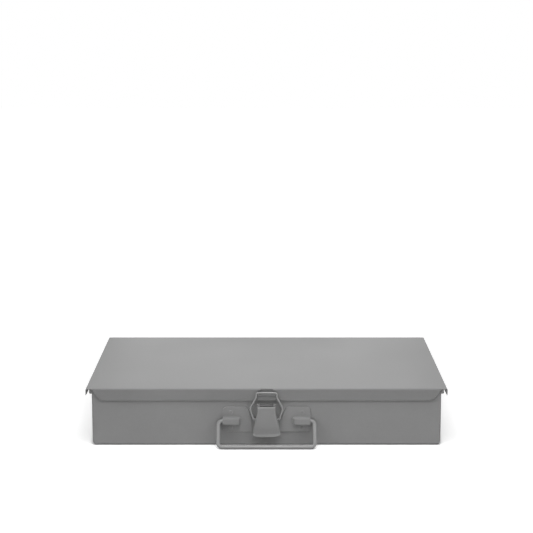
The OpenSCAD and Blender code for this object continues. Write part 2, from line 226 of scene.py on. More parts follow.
@dataclass(frozen=True)
class Enamel:
    """Baked enamel over steel, with a faint orange peel, edges lightened by a thin coat and a painted
    highlight, and painted shade in its crevices.

    Args:
        name: Name of the material.
        colour: Linear base colour of the flat coat.
        roughness: Middle of the coat's roughness.
        rough_spread: How far the roughness strays from its middle.
        shine: Specular level of the coat.
        tone_size: Size of the broad patches of tone, in metres.
        tone_detail: Layers of finer noise in the patches.
        tone_share: How far the tone strays from the base colour.
        speckle_size: Size of the fine speckle, in metres.
        speckle_detail: Layers of finer noise in the speckle.
        speckle_share: Strength of the speckle, as a share of the patches'.
        peel_size: Size of one dimple of the peel, in metres.
        peel_detail: Layers of finer noise in the peel.
        peel_depth: Height of the orange peel, in metres.
        edge_radius: Width of the rounded edge, used for the surface's direction and for the thin coat
            and painted highlight along it, in metres.
        edge_samples: Rays that look for an edge.
        edge_highlight_turn: Cosine of the turn where an edge starts to lighten and where it is
            lightest.
        edge_highlight_share: How much lighter an edge is, from its thin coat and a painted highlight.
        painted_shade_reach: How far the painted shade reaches out of a crevice, in metres.
        painted_shade_open: Openness where the painted shade is full and where it is gone.
        painted_shade_share: How much darker the painted shade makes the coat deep in a crevice.
    """

    name: str
    colour: tuple[float, float, float]
    roughness: float = 0.36
    rough_spread: float = 0.03
    shine: float = 0.12
    tone_size: float = 0.09
    tone_detail: float = 3
    tone_share: float = 0.05
    speckle_size: float = 0.0024
    speckle_detail: float = 2
    speckle_share: float = 0.25
    peel_size: float = 0.0012
    peel_detail: float = 1
    peel_depth: float = 0.00003
    edge_radius: float = 0.0007
    edge_samples: int = 6
    edge_highlight_turn: tuple[float, float] = (0.995, 0.85)
    edge_highlight_share: float = 0.24
    painted_shade_reach: float = 0.005
    painted_shade_open: tuple[float, float] = (0.3, 0.95)
    painted_shade_share: float = 0.1

    def flat_coat(
        self, wiring: Wiring, place: bpy.types.NodeSocket, tone: bpy.types.NodeSocket,
    ) -> bpy.types.NodeSocket:
        """Colours the coat away from its edges.

        Args:
            wiring: Wiring of the material.
            place: Place on the piece.
            tone: Noise of the broad patches.

        Returns:
            The colour, with its patches, its speckle and painted shade darkening its crevices.
        """
        speckle = wiring.noise(place, self.speckle_size, self.speckle_detail)
        fine = self.tone_share * self.speckle_share
        patches = wiring.remap(
            tone, NOISE_RANGE, (1 - self.tone_share, 1 + self.tone_share), Ramp.SOFT)
        specks = wiring.remap(speckle, NOISE_RANGE, (1 - fine, 1 + fine), Ramp.SOFT)
        # Painted shade: the coat's colour is darkened where nearby surfaces close it in, as if
        # shadowed.
        hollow = wiring.openness(self.painted_shade_reach)
        painted_shade = wiring.remap(hollow, self.painted_shade_open, (1 - self.painted_shade_share, 1))
        mottle = wiring.combine(Blend.PRODUCT, patches, specks)
        level = wiring.combine(Blend.PRODUCT, mottle, painted_shade)
        coat = wiring.add("ShaderNodeMixRGB")
        coat.blend_type = "MULTIPLY"
        coat.inputs["Fac"].default_value = 1
        coat.inputs["Color1"].default_value = (*self.colour, 1)
        wiring.join(level, coat.inputs["Color2"])
        return coat.outputs["Color"]

    def thin_edges_and_highlights(
        self, wiring: Wiring, coat: bpy.types.NodeSocket, rounded: bpy.types.NodeSocket,
    ) -> bpy.types.NodeSocket:
        """Lightens the coat over an edge, where it lies thin and where a painted highlight is added.

        Args:
            wiring: Wiring of the material.
            coat: Colour of the flat coat.
            rounded: Direction of the surface with its edges rounded.

        Returns:
            The colour with its edges lightened by the thin coat and a painted highlight.
        """
        surface = wiring.add("ShaderNodeNewGeometry")
        turn = wiring.add("ShaderNodeVectorMath")
        turn.operation = "DOT_PRODUCT"
        wiring.join(rounded, turn.inputs[0])
        wiring.join(surface.outputs["Normal"], turn.inputs[1])
        # Painted highlight: edges are lightened in the colour, on top of the thinner coat there.
        thin = wiring.remap(turn.outputs["Value"], self.edge_highlight_turn, (0, self.edge_highlight_share))
        worn_and_highlit = wiring.add("ShaderNodeMixRGB")
        worn_and_highlit.blend_type = "SCREEN"
        worn_and_highlit.inputs["Color2"].default_value = WHITE
        wiring.join(thin, worn_and_highlit.inputs["Fac"])
        wiring.join(coat, worn_and_highlit.inputs["Color1"])
        return worn_and_highlit.outputs["Color"]

    def orange_peel(
        self, wiring: Wiring, place: bpy.types.NodeSocket, rounded: bpy.types.NodeSocket,
    ) -> bpy.types.NodeSocket:
        """Dimples the coat.

        Args:
            wiring: Wiring of the material.
            place: Place on the piece.
            rounded: Direction of the surface with its edges rounded.

        Returns:
            The direction of the dimpled surface.
        """
        bump = wiring.add("ShaderNodeBump")
        bump.inputs["Strength"].default_value = 1
        bump.inputs["Distance"].default_value = self.peel_depth
        wiring.join(wiring.noise(place, self.peel_size, self.peel_detail), bump.inputs["Height"])
        wiring.join(rounded, bump.inputs["Normal"])
        return bump.outputs["Normal"]

    def build(self) -> bpy.types.Material:
        """Makes the node material.

        Returns:
            The finished material.
        """
        material, shader, wiring = plain_material(self.name)
        place = wiring.add("ShaderNodeTexCoord").outputs["Object"]
        soft = wiring.add("ShaderNodeBevel")
        soft.samples = self.edge_samples
        soft.inputs["Radius"].default_value = self.edge_radius
        rounded = soft.outputs["Normal"]
        tone = wiring.noise(place, self.tone_size, self.tone_detail)
        coat = self.flat_coat(wiring, place, tone)
        rough = (self.roughness - self.rough_spread, self.roughness + self.rough_spread)
        shader.inputs["Specular IOR Level"].default_value = self.shine
        wiring.join(self.thin_edges_and_highlights(wiring, coat, rounded), shader.inputs["Base Color"])
        wiring.join(wiring.remap(tone, NOISE_RANGE, rough, Ramp.SOFT), shader.inputs["Roughness"])
        wiring.join(self.orange_peel(wiring, place, rounded), shader.inputs["Normal"])
        return material


@dataclass(frozen=True)
class DrawnSteel:
    """Bare drawn steel with fine marks along its length.

    Args:
        name: Name of the material.
        colour: Linear colour of the metal.
        roughness: Middle of the metal's roughness.
        rough_spread: How far the roughness strays from its middle.
        mark_size: Width of a drawing mark, in metres.
        mark_stretch: How many times longer than wide a mark is.
        mark_detail: Layers of finer noise in the marks.
    """

    name: str
    colour: tuple[float, float, float]
    roughness: float = 0.35
    rough_spread: float = 0.12
    mark_size: float = 0.0002
    mark_stretch: float = 60
    mark_detail: float = 2

    def build(self) -> bpy.types.Material:
        """Makes the node material.

        Returns:
            The finished material.
        """
        material, shader, wiring = plain_material(self.name)
        shader.inputs["Base Color"].default_value = (*self.colour, 1)
        shader.inputs["Metallic"].default_value = 1
        place = wiring.add("ShaderNodeTexCoord")
        along = wiring.add("ShaderNodeMapping")
        along.inputs["Scale"].default_value = (1 / self.mark_stretch, 1, 1)
        wiring.join(place.outputs["Object"], along.inputs["Vector"])
        marks = wiring.noise(along.outputs["Vector"], self.mark_size, self.mark_detail)
        rough = (self.roughness - self.rough_spread, self.roughness + self.rough_spread)
        wiring.join(wiring.remap(marks, (0, 1), rough), shader.inputs["Roughness"])
        return material


@dataclass
class Paintwork:
    """Dresses the steel pieces that the frame carries.

    Args:
        sheet: Finish of the box's sheet pieces.
        lid: Finish of the lid's sheet pieces: the same enamel made darker as painted shade, so that
            the lid's brightly lit top reads less bright.
        wire: Finish of the bent wire.
        pin: Finish of the bare hinge pin.
        pivot: Finish of the latch's pivot pin, darkened as painted shade for the shadow it sits in
            between the latch's ears.
        lid_nodes: Sheet pieces on the lid.
        wire_nodes: Pieces of bent wire.
        pin_nodes: Bare pins.
        pivot_nodes: Pins darkened as painted shade.
    """

    sheet: Enamel = Enamel("grey_enamel", grey(0.284))
    # Painted shade: a darker copy of the sheet enamel for the lid, which tones down its lit top.
    lid: Enamel = Enamel("grey_lid_enamel_shaded", grey(0.246))
    wire: Enamel = Enamel("grey_wire_enamel", grey(0.284), roughness=0.24, shine=0.6)
    pin: DrawnSteel = DrawnSteel("drawn_steel", (0.42, 0.42, 0.41))
    # Painted shade: the pivot pin is coloured dark to stand for the shadow it sits in.
    pivot: Enamel = Enamel(
        "shaded_pin_enamel", grey(0.14), roughness=0.6, shine=0.2, edge_highlight_share=0.05)
    lid_nodes: tuple[str, ...] = ("lid_shell", "lid_strike", "hinge_leaf_lid")
    wire_nodes: tuple[str, ...] = ("handle", "latch_link")
    pin_nodes: tuple[str, ...] = ("hinge_pin",)
    pivot_nodes: tuple[str, ...] = ("latch_pin",)

    def dress(self, nodes: dict[str, bpy.types.Object]) -> bpy.types.Material:
        """Gives every node its finish.

        Args:
            nodes: The frame's nodes by name.

        Returns:
            The sheet enamel, for the pieces that are added to the box.
        """
        sheet = self.sheet.build()
        by_node = {}
        for finish, names in (
            (self.lid, self.lid_nodes), (self.wire, self.wire_nodes),
            (self.pin, self.pin_nodes), (self.pivot, self.pivot_nodes),
        ):
            by_node.update(dict.fromkeys(names, finish.build()))
        for name, piece in nodes.items():
            material = by_node.get(name, sheet)
            piece.data.materials.clear()
            piece.data.materials.append(material)
            LOG.info("%s: %s", name, material.name)
        return sheet


def smooth_step(share: float) -> float:
    """Eases a share between 0 and 1 in and out."""
    share = min(max(share, 0), 1)
    return share * share * (3 - 2 * share)


def along_curve(points: Curve, at: float) -> float:
    """Reads a smooth curve through points whose first numbers fall.

    Args:
        points: Pairs of place and value, from the highest place down.
        at: The place to read.

    Returns:
        The value there.
    """
    if at >= points[0][0]:
        return points[0][1]
    for i in range(len(points) - 1):
        (high, start), (low, end) = points[i], points[i + 1]
        if at >= low:
            before = points[max(i - 1, 0)]
            after = points[min(i + 2, len(points) - 1)]
            span = high - low
            into = (end - before[1]) / (before[0] - low) * span
            out_of = (after[1] - start) / (high - after[0]) * span
            t = (high - at) / span
            return (
                (2 * t**3 - 3 * t**2 + 1) * start
                + (t**3 - 2 * t**2 + t) * into
                + (3 * t**2 - 2 * t**3) * end
                + (t**3 - t**2) * out_of
            )
    return points[-1][1]


def pressing(
    name: str, mesh: bmesh.types.BMesh, sheet_t: float, finish: bpy.types.Material,
) -> bpy.types.Object:
    """Makes a sheet-metal piece of a front surface, whose thickness lies behind it.

    Args:
        name: Name of the piece.
        mesh: The front surface, in metres.
        sheet_t: Thickness of the sheet, in millimetres.
        finish: The sheet enamel.

    Returns:
        The piece, which still has to ride on its body.
    """
    bmesh.ops.remove_doubles(mesh, verts=mesh.verts, dist=MERGE_DIST)
    bmesh.ops.recalc_face_normals(mesh, faces=mesh.faces)
    towards_rear = sum(face.normal.y * face.calc_area() for face in mesh.faces)
    if towards_rear > 0:
        bmesh.ops.reverse_faces(mesh, faces=mesh.faces)
    data = bpy.data.meshes.new(name)
    mesh.to_mesh(data)
    mesh.free()
    data.materials.append(finish)
    for polygon in data.polygons:
        polygon.use_smooth = True
    piece = bpy.data.objects.new(name, data)
    bpy.context.scene.collection.objects.link(piece)
    wall = piece.modifiers.new("sheet", "SOLIDIFY")
    wall.thickness = sheet_t * MM
    wall.offset = -1
    crisp = piece.modifiers.new("crisp_edges", "EDGE_SPLIT")
    crisp.split_angle = math.radians(CRISP_ANGLE)
    LOG.info("%s: %d faces in its front surface", name, len(data.polygons))
    return piece


@dataclass
class Lever:
    """The latch's pressed lever: a bowed face between two flanges, and a creased finger lip.

    Heights are measured from the pivot and depths from the box's front wall, in millimetres.

    Args:
        front_y: Y of the box's front wall.
        pivot_z: Height of the pivot above the floor.
        pivot_out: Depth of the pivot.
        crank: Drop from the pivot to the link's hole.
        crank_out: Depth of the link's hole.
        ear_r: Radius of the flanges round the pivot and the crank.
        ear_rows: Heights of the flanges' rows above the face.
        sheet_t: Thickness of the sheet.
        bend_r: Outer radius of the bend between face and flange.
        bend_opening: How much less the bend turns below the flanges, in degrees.
        bend_run: Height over which the bend opens.
        flange_end: Height where the flanges run out.
        grip_top: Height where the rows begin to follow the rounded lower end.
        tip: Height of the lever's lowest edge.
        corner_h: Height that the rounded lower corners take.
        corner_power: How square the lower corners are.
        corner_cut: Share of the lower edge's curve that is used, so that it ends in a blunt corner.
        crease_rise: Share of a corner's rise that the lip's crease follows.
        face: Height and depth of the face's front, from its top edge down.
        half_width: Height and half width of the face.
        rows: Faces down the front.
        columns: Faces across the front between its bends.
        bend_columns: Faces round a bend.
        flange_columns: Faces across a flange.
    """

    front_y: float
    pivot_z: float
    pivot_out: float
    crank: float
    crank_out: float
    ear_r: float = 2.7
    ear_rows: tuple[float, ...] = (2.7, 2.6, 2.3, 1.7, 1, 0.2)
    sheet_t: float = 1.2
    bend_r: float = 1.6
    bend_opening: float = 38
    bend_run: float = 6
    flange_end: float = -27.2
    grip_top: float = -29
    tip: float = -41
    corner_h: float = 5.6
    corner_power: float = 3.2
    corner_cut: float = 0.98
    crease_rise: float = 0.6
    face: Curve = (
        (-0.4, 9.1), (-0.8, 9.8), (-1.5, 10.3), (-2.6, 10.6), (-4, 10.7), (-12, 10.8),
        (-20, 10.6), (-28, 10), (-34, 9.2), (-37.4, 8.9), (-38.3, 9.05), (-41, 9.7),
    )
    half_width: Curve = (
        (2.7, 12), (-4, 12), (-9, 12.3), (-14, 13.2), (-24, 15.7), (-29, 16.9), (-32.5, 17.6),
        (-36, 17.8),
    )
    rows: int = 44
    columns: int = 28
    bend_columns: int = 5
    flange_columns: int = 6

    @classmethod
    def in_frame(cls, joints: dict[str, list[float]]) -> "Lever":
        """Takes the places of the lever from the frame.

        Args:
            joints: Places of the frame's joints by name, in metres.

        Returns:
            The lever, ready to build.
        """
        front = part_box("handle_plate")[1].y
        _, pivot_y, pivot_z = joints["lever_pivot"]
        _, hole_y, hole_z = joints["link_pivot"]
        return cls(
            front_y=millimetres(front), pivot_z=millimetres(pivot_z),
            pivot_out=millimetres(front - pivot_y), crank=millimetres(pivot_z - hole_z),
            crank_out=millimetres(front - hole_y),
        )

    @property
    def top(self) -> float:
        """Height of the face's top edge."""
        return self.face[0][0]

    def flange_depths(self, z: float) -> tuple[float, float]:
        """Gives the inner and outer depth of a flange at a height.

        Args:
            z: Height from the pivot.

        Returns:
            The flange's inner and outer depth.
        """
        outer = along_curve(self.face, z) - self.bend_r
        if z > self.top:
            slope = (outer - self.pivot_out) / (self.ear_r - self.top)
            outer = self.pivot_out + (self.ear_r - z) * slope
        if z >= 0:
            return self.pivot_out - math.sqrt(max(self.ear_r**2 - z**2, 0)), outer
        drop = z + self.crank
        ear = self.pivot_out - self.ear_r
        low_ear = self.crank_out - self.ear_r
        if drop >= 0:
            return ear + (low_ear - ear) * -z / self.crank, outer
        corner = -self.crank - self.ear_r
        if z >= corner:
            round_ear = self.crank_out - math.sqrt(max(self.ear_r**2 - drop**2, 0))
            return min(round_ear, outer), outer
        share = (corner - z) / (corner - self.flange_end)
        return min(self.crank_out + (outer - self.crank_out) * share, outer), outer

    def flange_row(self, z: float, outer: float) -> list[float]:
        """Lists the depths of a flange's vertices at a height.

        Args:
            z: Height from the pivot.
            outer: Depth of the flange's outer edge.

        Returns:
            Depths from the inner edge to the outer one.
        """
        inner = min(self.flange_depths(z)[0], outer)
        width = outer - inner
        return [inner + width * i / self.flange_columns for i in range(self.flange_columns + 1)]

    def section(self, width: float, ends: float) -> list[tuple[float, float]]:
        """Gives the section of the face and its bends at one height.

        Args:
            width: Half width of the face there.
            ends: The height.

        Returns:
            Points as half width and depth behind the face, from left to right.
        """
        opening = self.bend_opening * smooth_step((self.flange_end - ends) / self.bend_run)
        angle = math.radians(90 - opening)
        reach = self.bend_r * math.sin(angle)
        turns = [angle * (i + 1) / self.bend_columns for i in range(self.bend_columns)]
        left = [
            (-width + reach - self.bend_r * math.sin(turn), self.bend_r * (1 - math.cos(turn)))
            for turn in reversed(turns)
        ]
        across = [math.sin(math.pi / 2 * (-1 + 2 * i / self.columns)) for i in range(self.columns + 1)]
        flat = [(share * (width - reach), 0) for share in across]
        return left + flat + [(-x, back) for x, back in reversed(left)]

    def row(self, share: float) -> list[Place]:
        """Gives one row of the face and its bends, from left to right.

        Args:
            share: 0 at the top edge, 1 at the lower edge.

        Returns:
            Points as half width, depth and height.
        """
        middle = self.top + (self.tip - self.top) * share
        grip = max(0, (self.grip_top - middle) / (self.grip_top - self.tip))
        ends = middle
        if middle < self.grip_top:
            ends = self.grip_top + (self.tip + self.corner_h - self.grip_top) * grip
        width = along_curve(self.half_width, ends)
        points = []
        for x, back in self.section(width, ends):
            aside = abs(self.corner_cut * x / width)
            level = (1 - aside ** self.corner_power) ** (1 / self.corner_power)
            z = ends - (ends - middle) * level
            rise = self.corner_h * (1 - level) * smooth_step(grip)
            points.append((x, along_curve(self.face, z - self.crease_rise * rise) - back, z))
        return points

    def build(self, finish: bpy.types.Material) -> bpy.types.Object:
        """Builds the lever and puts it in place of its node.

        Args:
            finish: The sheet enamel.

        Returns:
            The lever.
        """
        mesh = bmesh.new()

        def vertex(x: float, depth: float, z: float) -> bmesh.types.BMVert:
            """Adds a vertex from a half width, a depth and a height."""
            return mesh.verts.new((x * MM, (self.front_y - depth) * MM, (self.pivot_z + z) * MM))

        def strip(first: list[bmesh.types.BMVert], second: list[bmesh.types.BMVert]) -> None:
            """Joins two rows of vertices with faces."""
            for i in range(len(first) - 1):
                mesh.faces.new((first[i], second[i], second[i + 1], first[i + 1]))

        rows = [[vertex(*point) for point in self.row(i / self.rows)] for i in range(self.rows + 1)]
        for first, second in zip(rows, rows[1:]):
            strip(first, second)
        for side in (-1, 1):
            rim = [row[0] if side < 0 else row[-1] for row in rows]
            flange = []
            for z in self.ear_rows:
                x = side * along_curve(self.half_width, z)
                depths = self.flange_row(z, self.flange_depths(z)[1])
                flange.append([vertex(x, depth, z) for depth in depths])
            for edge in rim:
                z = edge.co.z / MM - self.pivot_z
                if z < self.flange_end:
                    break
                x = edge.co.x / MM
                depths = self.flange_row(z, self.front_y - edge.co.y / MM)
                flange.append([vertex(x, depth, z) for depth in depths[:-1]] + [edge])
            for first, second in zip(flange, flange[1:]):
                if side < 0:
                    strip(first, second)
                else:
                    strip(second, first)
        lever = pressing("lever_pressing", mesh, self.sheet_t, finish)
        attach(lever, "lever")
        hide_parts("latch_lever")
        return lever


@dataclass
class HandlePlate:
    """The butterfly plate of the handle, with two soft-edged tunnels pressed out of its sheet.

    Sizes are in millimetres, and heights are measured from the floor.

    Args:
        front_y: Y of the box's front wall.
        low: Lower edge of the plate.
        high: Upper edge of the plate.
        half_w: Half the plate's width.
        tunnel_z: Height of the tunnels' middle.
        sheet_t: Thickness of the sheet.
        corner_r: Radius of the outer corners.
        notch: Half width and height of the latch's notch, from its floor up.
        tunnel_out: How far a tunnel stands out of the plate's front.
        tunnel_end: Where a tunnel's closed end begins, from the middle of the box.
        nose: Length of a tunnel's rounded end.
        nose_power: How slowly a tunnel rises from its end.
        nose_narrow: Width of a tunnel's section at its end, as a share of the full one.
        section: Upper half of a tunnel's section, from its foot to its crown, as the
            height over its middle and the share of its depth.
        flat_rows: Heights over the tunnels' middle of the grid's rows in the flat.
        rim_steps: Distances of the grid's rows from the lower and the upper edge.
        still_x: Where the columns of the grid stop following the notch.
        still_steps: Distances of the upright columns from there.
        edge_shares: Places of the last columns, on the way to the plate's edge.
        notch_columns: Columns that follow the notch.
        web_columns: Columns from the middle to the notch, below its floor.
    """

    front_y: float
    low: float
    high: float
    half_w: float
    tunnel_z: float
    sheet_t: float = 1.3
    corner_r: float = 5.2
    notch: Curve = (
        (13.6, 30.6), (15.6, 33.2), (18.6, 36.4), (20.4, 39.6), (23.2, 45.2), (25.6, 49.8),
        (27.4, 51.5), (29.2, 51.9),
    )
    tunnel_out: float = 6.25
    tunnel_end: float = 33.9
    nose: float = 3.4
    nose_power: float = 1.3
    nose_narrow: float = 0.62
    section: Curve = (
        (5.3, 0), (5, 0.02), (4.8, 0.07), (4.66, 0.16), (4.58, 0.3), (4.53, 0.6), (4.48, 0.8),
        (4.36, 0.92), (4.1, 0.98), (3.7, 1), (2.4, 1), (0.8, 1),
    )
    flat_rows: tuple[float, ...] = (-7.4, 6.2, 8, 10, 11.6)
    rim_steps: tuple[float, ...] = (0, 0.15, 0.5, 1.1, 2, 3.4, 5.2)
    still_x: float = 32
    still_steps: tuple[float, ...] = (
        0, 0.8, 1.3, 1.6, 1.9, 2.1, 2.4, 2.8, 3.3, 3.9, 4.6, 5.4, 7, 10, 13, 16, 19,
    )
    edge_shares: tuple[float, ...] = (0.35, 0.65, 0.88, 1)
    notch_columns: int = 8
    web_columns: int = 5

    @classmethod
    def in_frame(cls, joints: dict[str, list[float]]) -> "HandlePlate":
        """Takes the place and the outer sizes of the plate from the frame.

        Args:
            joints: Places of the frame's joints by name, in metres.

        Returns:
            The plate, ready to build.
        """
        low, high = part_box("handle_plate")
        return cls(
            front_y=millimetres(high.y), low=millimetres(low.z), high=millimetres(high.z),
            half_w=millimetres(high.x), tunnel_z=millimetres(joints["handle_pivot"][2]),
        )

    def notch_x(self, z: float) -> float:
        """Gives the notch's half width at a height.

        Args:
            z: The height.

        Returns:
            The half width.
        """
        for (x0, z0), (x1, z1) in zip(self.notch, self.notch[1:]):
            if z <= z1:
                return x0 + (x1 - x0) * max(0, (z - z0) / (z1 - z0))
        return self.notch[-1][0]

    def edge_x(self, z: float) -> float:
        """Gives the plate's half width at a height, with its round corners."""
        into = max(self.low + self.corner_r - z, z - self.high + self.corner_r, 0)
        return self.half_w - self.corner_r + math.sqrt(max(self.corner_r**2 - into**2, 0))

    def heights(self) -> list[tuple[float, float]]:
        """Lists the grid's rows.

        Returns:
            Heights over the tunnels' middle and shares of the tunnels' depth, from below.
        """
        down = [self.low - self.tunnel_z + step for step in self.rim_steps]
        up = [self.high - self.tunnel_z - step for step in self.rim_steps]
        floor = self.notch[0][1] - self.tunnel_z
        rows = {(z, 0) for z in (*down, *self.flat_rows, *up)}
        rows |= {(side * z, share) for z, share in self.section for side in (-1, 1)}
        return sorted(rows | {(floor, 1)})

    def columns(self, z: float) -> list[float]:
        """Lists the grid's columns on one side.

        Args:
            z: Height of the row.

        Returns:
            Distances from the middle of the box, outwards.
        """
        start = self.notch_x(z)
        edge = self.edge_x(z)
        width = self.still_x - start
        run = [start + width * i / self.notch_columns for i in range(self.notch_columns)]
        run += [self.still_x + step for step in self.still_steps]
        last = run[-1]
        run += [last + (edge - last) * share for share in self.edge_shares]
        if z <= self.notch[0][1] + ROUNDING:
            run = [start * i / self.web_columns for i in range(self.web_columns)] + run
        return run

    def point(self, x: float, over: float, share: float, side: int) -> Place:
        """Gives a point on the plate's front or on a tunnel.

        Args:
            x: Distance from the middle of the box.
            over: Height over the tunnels' middle, before a tunnel narrows.
            share: Share of the tunnels' depth.
            side: -1 on the left and 1 on the right.

        Returns:
            The point, in metres.
        """
        along = min(max((x - self.tunnel_end) / self.nose, 0), 1)
        dome = math.sqrt(1 - (1 - along) ** 2)
        on_tunnel = abs(over) <= self.section[0][0]
        narrow = self.nose_narrow + (1 - self.nose_narrow) * dome if on_tunnel else 1
        depth = self.sheet_t + self.tunnel_out * share * dome ** self.nose_power
        z = self.tunnel_z + over * narrow
        return (side * x * MM, (self.front_y - depth) * MM, z * MM)

    def build(self, finish: bpy.types.Material) -> bpy.types.Object:
        """Builds the plate and puts it in place of its node.

        Args:
            finish: The sheet enamel.

        Returns:
            The plate.
        """
        mesh = bmesh.new()
        for side in (-1, 1):
            rows = []
            for over, share in self.heights():
                points = [self.point(x, over, share, side) for x in self.columns(self.tunnel_z + over)]
                rows.append([mesh.verts.new(point) for point in points])
            for first, second in zip(rows, rows[1:]):
                first = first[max(len(first) - len(second), 0):]
                for i in range(len(first) - 1):
                    quad = (first[i], first[i + 1], second[i + 1], second[i])
                    mesh.faces.new(quad if side > 0 else quad[::-1])
        plate = pressing("handle_plate_pressing", mesh, self.sheet_t, finish)
        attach(plate, "tray")
        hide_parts("handle_plate")
        return plate


@dataclass
class WeldMarks:
    """The shallow round dents that spot welding leaves in the sheet.

    Sizes are in millimetres. Each mark is a low ring with a hollow, seated on its sheet.

    Args:
        radius: Outer radius of a mark.
        ring: Profile from the middle outwards, as the share of the radius and the height.
        crown: Height of a mark's middle.
        sunk: How deep a mark's skirt goes into the sheet.
        sides: Faces round a mark.
        reach: How far a mark looks for its sheet.
        plate_x: Distance from the middle of the box to the marks on the handle plate.
        plate_z: Heights of the marks on the handle plate.
        side_y: Places of the marks along a side wall.
        side_z: Heights of the marks on a side wall.
        rear_x: Place of the rear wall's first mark.
        rear_pitch: Distance from one mark on the rear wall to the next.
        rear_count: Number of marks on the rear wall.
        rear_z: Height of the marks on the rear wall.
        out_x: Where the side walls' marks start to look for their sheet.
        out_front: Where the handle plate's marks do.
        out_rear: Where the rear wall's marks do.
    """

    radius: float = 2.6
    ring: Curve = (
        (0.25, 0.02), (0.5, 0.03), (0.66, 0.07), (0.78, 0.13), (0.88, 0.13), (0.95, 0.08), (1, 0.01),
    )
    crown: float = 0.02
    sunk: float = 0.3
    sides: int = 20
    reach: float = 20
    plate_x: float = 46.8
    plate_z: tuple[float, ...] = (24, 44.5)
    side_y: tuple[float, ...] = (-115, -72, -36, 36, 72, 115)
    side_z: tuple[float, ...] = (22, 48)
    rear_x: float = -210
    rear_pitch: float = 42
    rear_count: int = 11
    rear_z: float = 62
    out_x: float = 240
    out_front: float = -158
    out_rear: float = 162

    def plate_spots(self) -> list[Place]:
        """Lists points in front of the handle plate's marks."""
        return [(side * self.plate_x, self.out_front, z) for side in (-1, 1) for z in self.plate_z]

    def side_spots(self, side: int) -> list[Place]:
        """Lists points beside the marks on the left (-1) or right (1) wall."""
        return [(side * self.out_x, y, z) for y in self.side_y for z in self.side_z]

    def rear_spots(self) -> list[Place]:
        """Lists points behind the rear wall's marks."""
        places = [self.rear_x + self.rear_pitch * i for i in range(self.rear_count)]
        return [(x, self.out_rear, self.rear_z) for x in places]

    def mark(self, mesh: bmesh.types.BMesh, seat: Vector, out: Vector) -> None:
        """Adds one mark.

        Args:
            mesh: The mesh of the marks.
            seat: Middle of the mark on its sheet, in metres.
            out: Direction out of the sheet.
        """
        across = out.orthogonal().normalized()
        up = out.cross(across)
        turns = [2 * math.pi * k / self.sides for k in range(self.sides)]
        middle = mesh.verts.new(seat + out * self.crown * MM)
        last = None
        for share, height in (*self.ring, (1, -self.sunk)):
            loop = []
            for turn in turns:
                aside = (across * math.cos(turn) + up * math.sin(turn)) * self.radius * share * MM
                loop.append(mesh.verts.new(seat + aside + out * height * MM))
            for k in range(self.sides):
                after = (k + 1) % self.sides
                nearer = (middle,) if last is None else (last[after], last[k])
                mesh.faces.new((loop[k], loop[after], *nearer))
            last = loop
        mesh.faces.new(last[::-1])

    def build(
        self, name: str, sheet: bpy.types.Object, starts: list[Place], facing: Facing, body: str,
        finish: bpy.types.Material,
    ) -> bpy.types.Object:
        """Builds the marks on one sheet as one piece.

        Args:
            name: Name of the piece.
            sheet: The sheet that carries the marks.
            starts: Points in front of the sheet, in millimetres.
            facing: Direction from the points to the sheet.
            body: Body that the sheet rides on.
            finish: Enamel of the sheet.

        Returns:
            The marks.
        """
        sheet.data.update()
        tree = BVHTree.FromPolygons(
            [vertex.co for vertex in sheet.data.vertices],
            [tuple(polygon.vertices) for polygon in sheet.data.polygons],
        )
        mesh = bmesh.new()
        way = Vector(facing.value)
        seated = 0
        for start in starts:
            seat = tree.ray_cast(Vector(start) * MM, way, self.reach * MM)[0]
            if seat is not None:
                seated += 1
                self.mark(mesh, seat, -way)
        bmesh.ops.recalc_face_normals(mesh, faces=mesh.faces)
        data = bpy.data.meshes.new(name)
        mesh.to_mesh(data)
        mesh.free()
        for polygon in data.polygons:
            polygon.use_smooth = True
        data.materials.append(finish)
        marks = bpy.data.objects.new(name, data)
        bpy.context.scene.collection.objects.link(marks)
        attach(marks, body)
        LOG.info("%s: %d of %d marks seated", name, seated, len(starts))
        return marks

    def build_all(
        self, plate: bpy.types.Object, tray: bpy.types.Object, finish: bpy.types.Material,
    ) -> None:
        """Builds the marks on the handle plate and on the side and rear walls.

        Args:
            plate: The handle plate.
            tray: The sheet of the box's body.
            finish: Enamel of both.
        """
        left, right, rear = self.side_spots(-1), self.side_spots(1), self.rear_spots()
        self.build("plate_weld_marks", plate, self.plate_spots(), Facing.BACK, "tray", finish)
        self.build("left_weld_marks", tray, left, Facing.RIGHT, "tray", finish)
        self.build("right_weld_marks", tray, right, Facing.LEFT, "tray", finish)
        self.build("rear_weld_marks", tray, rear, Facing.FRONT, "tray", finish)


@dataclass(frozen=True)
class Lamp:
    """One square soft lamp.

    Args:
        name: Name of the lamp.
        place: Where the lamp hangs, in metres.
        size: Side of its square, in metres.
        power: Power in watts.
    """

    name: str
    place: Place
    size: float
    power: float

    def hang(self, aim: Vector) -> None:
        """Adds the lamp.

        Args:
            aim: The point that it faces.
        """
        data = bpy.data.lights.new(self.name, "AREA")
        data.size = self.size
        data.energy = self.power
        lamp = bpy.data.objects.new(self.name, data)
        lamp.location = self.place
        lamp.rotation_euler = (aim - Vector(self.place)).to_track_quat("-Z", "Y").to_euler()
        bpy.context.scene.collection.objects.link(lamp)


